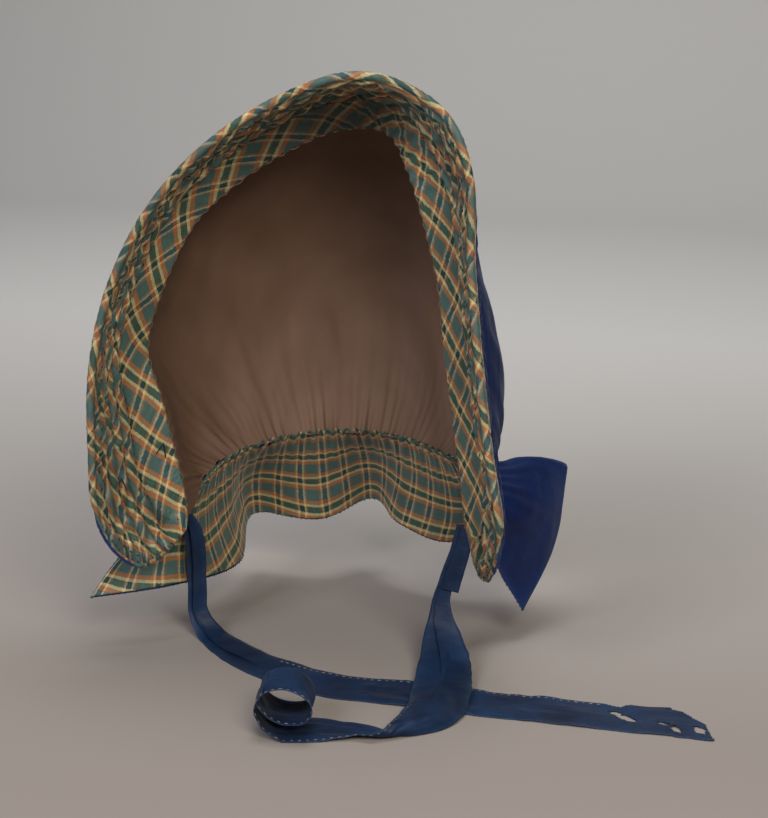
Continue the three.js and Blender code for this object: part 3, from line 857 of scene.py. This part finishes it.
def ribbon_grid(rows, steps, seed):
    """Points of a ribbon between its two edges, folded in three lengthwise where they come close."""
    along = np.linspace(0, 1, steps + 1)
    sides = np.linspace(0, 1, 37)[None]
    near, far = (smooth_route([row[k] for row in rows])(along)[:, None] for k in (0, 1))
    place = along * (len(rows) - 1)
    curl, pleated = (np.interp(place, range(len(rows)), [row[k] for row in rows])[:, None] for k in (2, 3))
    middle = (near + far)[:, 0] / 2
    face = unit(np.cross(np.gradient(middle, axis=0), (far - near)[:, 0]))
    run = lengths(middle[:, None], 0)
    wander = 0.06 * soft_noise(run, np.zeros_like(run), 38, seed)
    layered = sides + FOLD_BACK * pleated * (1 + wander) * np.sin(2 * np.pi * sides)
    ripple = 0.6 * soft_noise(run, sides * 30, 17, seed + 1) + 0.35 * soft_noise(run, sides * 30, 7, seed + 2)
    crease = 0.8 * soft_noise(run * 0.25, sides * 36, 6, seed + 4)
    loose = (ripple + crease) * (1 - 0.4 * pleated)
    lift = FOLD_DEPTH * pleated * (sides - 0.5) + curl * 4 * sides * (1 - sides) + loose
    fray = 0.012 * soft_noise(run, np.sign(sides - 0.5) * 50, 5, seed + 3) * np.abs(2 * sides - 1)
    grid = mix(near, far, (layered + fray)[..., None]) + face[:, None] * lift[..., None]
    grid[..., 2] = np.maximum(grid[..., 2], FLOOR_LEVEL + 0.5 + 0.2 * ripple)
    uv = np.stack([np.broadcast_to(run, grid.shape[:2]), np.broadcast_to(sides * RIBBON, grid.shape[:2])], -1)
    wear_and_shade = np.broadcast_to(0.7 * np.exp(-np.minimum(sides, 1 - sides) * RIBBON / 1.2), grid.shape[:2])
    return grid, uv, wear_and_shade, face


def torn(grid):
    """Which faces are left where the ribbon's end has worn through."""
    middle = (grid[:-1, :-1] + grid[1:, :-1] + grid[1:, 1:] + grid[:-1, 1:]) / 4
    x, y = middle[..., 0], middle[..., 1]
    ragged = 0.35 * soft_noise(x, y, 2.2, 61)
    keep = np.ones(x.shape, bool)
    for cx, cy, half_long, half_wide, turn in TORN_HOLES:
        c, s = math.cos(math.radians(turn)), math.sin(math.radians(turn))
        u = ((x - cx) * c + (y - cy) * s) / half_long
        v = ((y - cy) * c - (x - cx) * s) / half_wide
        keep &= np.hypot(u, v) > 1 + ragged
    edge_x, edge_y = np.array(WORN_EDGE, float).T
    return keep & ((x < edge_x[0]) | (y < np.interp(x, edge_x, edge_y) + 1.6 * ragged))


def make_ties():
    grid, uv, wear_and_shade, face = ribbon_grid(edge_rows(RIGHT_TIE), 520, 71)
    right = thin_sheet("tie_right_ribbon", grid, uv, NAVY_RIBBON, wear_and_shade, RIBBON_WALL, torn(grid))
    left_grid, uv, wear_and_shade, left_face = ribbon_grid(LEFT_TIE + roll_rows(), 480, 81)
    left = thin_sheet("tie_left_ribbon", left_grid, uv, NAVY_RIBBON, wear_and_shade, RIBBON_WALL)
    tab_grid, uv, wear_and_shade, _ = ribbon_grid(TIE_TAB, 60, 91)
    tab = thin_sheet("tie_left_tab_ribbon", tab_grid, uv, NAVY_RIBBON, wear_and_shade, RIBBON_WALL)
    return right, left, tab, (grid, face), (left_grid, left_face)


# Stitches
def stitch_tree():
    """Repeats a thread stitch along a path: lay points along each stitch, stand points out of the cloth."""
    tree = bpy.data.node_groups.new("stitch_row", "GeometryNodeTree")
    face = tree.interface
    face.new_socket(name="Path", in_out="INPUT", socket_type="NodeSocketGeometry")
    for name in ("Spacing", "Stitch Length", "Thread Width"):
        face.new_socket(name=name, in_out="INPUT", socket_type="NodeSocketFloat")
    face.new_socket(name="Seed", in_out="INPUT", socket_type="NodeSocketInt")
    face.new_socket(name="Thread", in_out="INPUT", socket_type="NodeSocketMaterial")
    face.new_socket(name="Stitches", in_out="OUTPUT", socket_type="NodeSocketGeometry")
    given = add_node(tree, "NodeGroupInput").outputs
    curve = add_node(tree, "GeometryNodeMeshToCurve", {}, {"Mesh": given["Path"]}).outputs[0]
    points = add_node(tree, "GeometryNodeResampleCurve", {"mode": "LENGTH"},
                      {"Curve": curve, "Length": given["Spacing"]}).outputs[0]
    bead = add_node(tree, "GeometryNodeMeshUVSphere", {}, {"Segments": 6, "Rings": 5, "Radius": 0.5}).outputs[0]
    size = add_node(tree, "ShaderNodeCombineXYZ", {}, {
        0: given["Stitch Length"], 1: given["Thread Width"], 2: given["Thread Width"]}).outputs[0]
    stitch = add_node(tree, "GeometryNodeTransform", {}, {"Geometry": bead, "Scale": size}).outputs[0]
    lay, stand = (
        add_node(tree, "GeometryNodeInputNamedAttribute", {"data_type": "FLOAT_VECTOR"}, {"Name": name}).outputs[0]
        for name in ("lay", "stand"))
    turn = add_node(tree, "FunctionNodeAxesToRotation", {"primary_axis": "X", "secondary_axis": "Z"},
                    {0: lay, 1: stand}).outputs[0]
    uneven = add_node(tree, "FunctionNodeRandomValue", {"data_type": "FLOAT"},
                      {2: 0.7, 3: 1.2, "Seed": given["Seed"]}).outputs[1]
    placed = add_node(tree, "GeometryNodeInstanceOnPoints", {}, {
        "Points": points, "Instance": stitch, "Rotation": turn, "Scale": uneven}).outputs[0]
    solid = add_node(tree, "GeometryNodeRealizeInstances", {}, {0: placed}).outputs[0]
    dressed = add_node(tree, "GeometryNodeSetMaterial", {}, {"Geometry": solid, "Material": given["Thread"]})
    add_node(tree, "NodeGroupOutput", {}, {0: dressed.outputs[0]})
    return tree


STITCH_TREE = stitch_tree()


def stitch_rows(name, paths, spacing, length, width, seed, thread):
    """One object of stitches along paths, each given as points, lay directions and stand directions."""
    mesh = bpy.data.meshes.new(name)
    points = np.concatenate([path[0] for path in paths]) * MM
    starts = np.cumsum([0] + [len(path[0]) for path in paths])
    edges = [(i, i + 1) for a, b in zip(starts[:-1], starts[1:]) for i in range(a, b - 1)]
    mesh.from_pydata(points.tolist(), edges, [])
    for k, label in ((1, "lay"), (2, "stand")):
        values = np.concatenate([np.broadcast_to(path[k], path[0].shape) for path in paths])
        mesh.attributes.new(label, "FLOAT_VECTOR", "POINT").data.foreach_set("vector", values.ravel())
    piece = bpy.data.objects.new(name, mesh)
    bpy.context.scene.collection.objects.link(piece)
    maker = piece.modifiers.new("stitches", "NODES")
    maker.node_group = STITCH_TREE
    values = {"Spacing": spacing * MM, "Stitch Length": length * MM, "Thread Width": width * MM,
              "Seed": seed, "Thread": thread}
    for socket in STITCH_TREE.interface.items_tree:
        if socket.name in values:
            maker[socket.identifier] = values[socket.name]
    return applied(piece)


def surface_path(grid, out, pick, proud):
    """A path along one row or column of a cloth grid, lying just proud of it."""
    points = grid[pick] + out[pick] * proud
    return points, unit(np.gradient(points, axis=0)), out[pick]


def edge_path(grid, out, pick, inward, slant):
    """Whipped stitches over a cloth edge, slanted back from it."""
    points = grid[pick] + inward * 0.5
    lay = unit(inward + slant * unit(np.gradient(points, axis=0)))
    return points, lay, out[pick]


cover, facing, facing_front, facing_out = make_brim()
crown, crown_lining = make_crown()
curtain, curtain_lining, curtain_grid, curtain_out = make_curtain()
tie_right, tie_left, tie_tab, right_ribbon, left_ribbon = make_ties()

# Running stitches inside the rim and along the end of the quilting
rim_row = int(np.argmin(np.abs(brim_rows - 0.055)))
middle_row = int(np.argmin(np.abs(brim_rows - QUILTED_SHARE)))
rim_stitches = stitch_rows("rim_stitches", [
    surface_path(facing_front, facing_out, (slice(20, -20), row), 0.15) for row in (rim_row, middle_row)],
    5.5, 1.9, 0.55, 1, DARK_THREAD)

# Whipped stitches along the lappets' lower edges, and thread ends left in the right lappet
rim_in = unit(facing_front[:, 1] - facing_front[:, 0])
lappet_edge = stitch_rows("lappet_edge_stitches", [
    edge_path(facing_front, facing_out, (rows, 0), rim_in[rows], 0.7) for rows in (slice(10, 84), slice(468, 510))],
    3.6, 2.6, 0.6, 4, DARK_THREAD)


def thread_ends(section, share, angles):
    """Short ends of thread that hang fanned out from one point of the facing."""
    row = int(np.argmin(np.abs(brim_rows - share)))
    point, out = facing_front[section, row], facing_out[section, row]
    up = unit(np.array([0, 0, 1.0]) - out * out[2])
    side = np.cross(out, up)
    paths = []
    for angle in angles:
        lay = up * math.cos(angle) + side * math.sin(angle)
        start = point + out * 0.5 - lay * THREAD_END / 2
        paths.append((np.stack([start, start - lay * 0.1]), lay, out))
    return paths


loose_ends = stitch_rows(
    "loose_thread_ends", thread_ends(90, 0.91, (0.1, -0.7)) + thread_ends(91, 0.4, (0.35, -0.35)),
    50, THREAD_END, 0.7, 5, DARK_THREAD)

# Whipped stitches round the curtain's free edges
down_step = unit(curtain_grid[:, -2] - curtain_grid[:, -1])
front_in = [unit(curtain_grid[1] - curtain_grid[0]), unit(curtain_grid[-2] - curtain_grid[-1])]
curtain_edge = stitch_rows("curtain_edge_stitches", [
    edge_path(curtain_grid, curtain_out, (slice(None), -1), down_step, 0.7),
    edge_path(curtain_grid, curtain_out, (0, slice(4, None)), front_in[0][4:], 0.7),
    edge_path(curtain_grid, curtain_out, (-1, slice(4, None)), front_in[1][4:], 0.7)],
    3.4, 2.6, 0.7, 2, DARK_THREAD)

# Running stitches along the ribbons' hems, on both faces
ribbon_paths = []
for (grid, face), first, last, column in ((right_ribbon, 285, 445, 34), (left_ribbon, 130, 478, 2)):
    for side in (1, -1):
        points = grid[first:last, column] + side * face[first:last] * (RIBBON_WALL / 2 + 0.05)
        ribbon_paths.append((points, unit(np.gradient(points, axis=0)), face[first:last]))
ribbon_stitches = stitch_rows("ribbon_hem_stitches", ribbon_paths, 4.2, 1.9, 0.36, 3, PALE_THREAD)

# What each piece stands for, and the kind of cloth it is
PIECES = [
    (cover, "brim_cover", "blue_silk"),
    (facing, "brim_facing", "plaid_silk"),
    (crown, "crown_cover", "blue_silk"),
    (crown_lining, "crown_lining", "brown_cotton"),
    (curtain, "neck_curtain", "blue_silk"),
    (curtain_lining, "neck_curtain_lining", "plaid_silk"),
    (tie_right, "tie_right", "ribbon_silk"),
    (tie_left, "tie_left", "ribbon_silk"),
    (tie_tab, "tie_left_tab", "ribbon_silk"),
]
for piece, node, slot in PIECES:
    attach(piece, "root")
    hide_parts(node)
STITCHES = [
    (rim_stitches, "plaid_silk"),
    (lappet_edge, "plaid_silk"),
    (loose_ends, "plaid_silk"),
    (curtain_edge, "blue_silk"),
    (ribbon_stitches, "ribbon_silk"),
]
for piece, slot in STITCHES:
    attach(piece, "root")

# Floor, light and camera
def studio_sweep():
    """A wide sheet of paper: flat floor, then a long curve up behind."""
    flat_end, bend = 1.6, 0.9
    turns = np.linspace(0, np.pi / 2, 25)
    back = np.concatenate([[-5], flat_end + bend * np.sin(turns), [flat_end + bend]])
    up = np.concatenate([[0], bend * (1 - np.cos(turns)), [4]]) + FLOOR_LEVEL * MM
    points = np.stack([np.stack([np.full(len(back), x), back, up], -1) for x in (-6, 6)])
    mesh = bpy.data.meshes.new("studio_floor")
    mesh.from_pydata(points.reshape(-1, 3).tolist(), [], quads(2, len(back)).tolist())
    mesh.polygons.foreach_set("use_smooth", np.ones(len(mesh.polygons), bool))
    mesh.materials.append(studio_paper())
    piece = bpy.data.objects.new("studio_floor", mesh)
    bpy.context.scene.collection.objects.link(piece)
    return piece


floor = studio_sweep()


def soft_light(name, place, aim, size, power, code):
    """A square soft box that faces a point."""
    lamp = bpy.data.lights.new(name, "AREA")
    lamp.shape = "SQUARE"
    lamp.size = size
    lamp.energy = power
    lamp.color = linear(code)[:3]
    box = bpy.data.objects.new(name, lamp)
    box.location = place
    box.rotation_euler = (Vector(aim) - Vector(place)).to_track_quat("-Z", "Y").to_euler()
    bpy.context.scene.collection.objects.link(box)


HOOD_MIDDLE = (0.02, -0.02, -0.15)
soft_light("key_light", (0.95, -1.6, 0.98), HOOD_MIDDLE, 0.8, 33, "#fff6ec")
soft_light("fill_light", (-0.65, -1.75, 0.98), HOOD_MIDDLE, 0.9, 26, "#f8f6ff")
soft_light("top_light", (0.1, 0.1, 1.7), HOOD_MIDDLE, 1.0, 21, "#ffffff")
soft_light("back_light", (-0.3, 0.9, 1.2), (-0.3, 2.5, 0), 1.6, 12.5, "#ffffff")

world = bpy.data.worlds.new("studio")
world.use_nodes = True
world.node_tree.nodes["Background"].inputs["Color"].default_value = linear("#c9c9c8")
world.node_tree.nodes["Background"].inputs["Strength"].default_value = 0.05
bpy.context.scene.world = world
bpy.context.scene.view_settings.view_transform = "Standard"

CAMERA_EYE = (0.33212, -1.17862, 0.13794)
CAMERA_AIM = (0.03870, -0.00178, -0.16446)
lens = bpy.data.cameras.new("camera")
lens.sensor_width = 36
lens.lens = 94.84
camera = bpy.data.objects.new("camera", lens)
camera.location = CAMERA_EYE
camera.rotation_euler = (Vector(CAMERA_AIM) - Vector(CAMERA_EYE)).to_track_quat("-Z", "Y").to_euler()
bpy.context.scene.collection.objects.link(camera)
bpy.context.scene.camera = camera
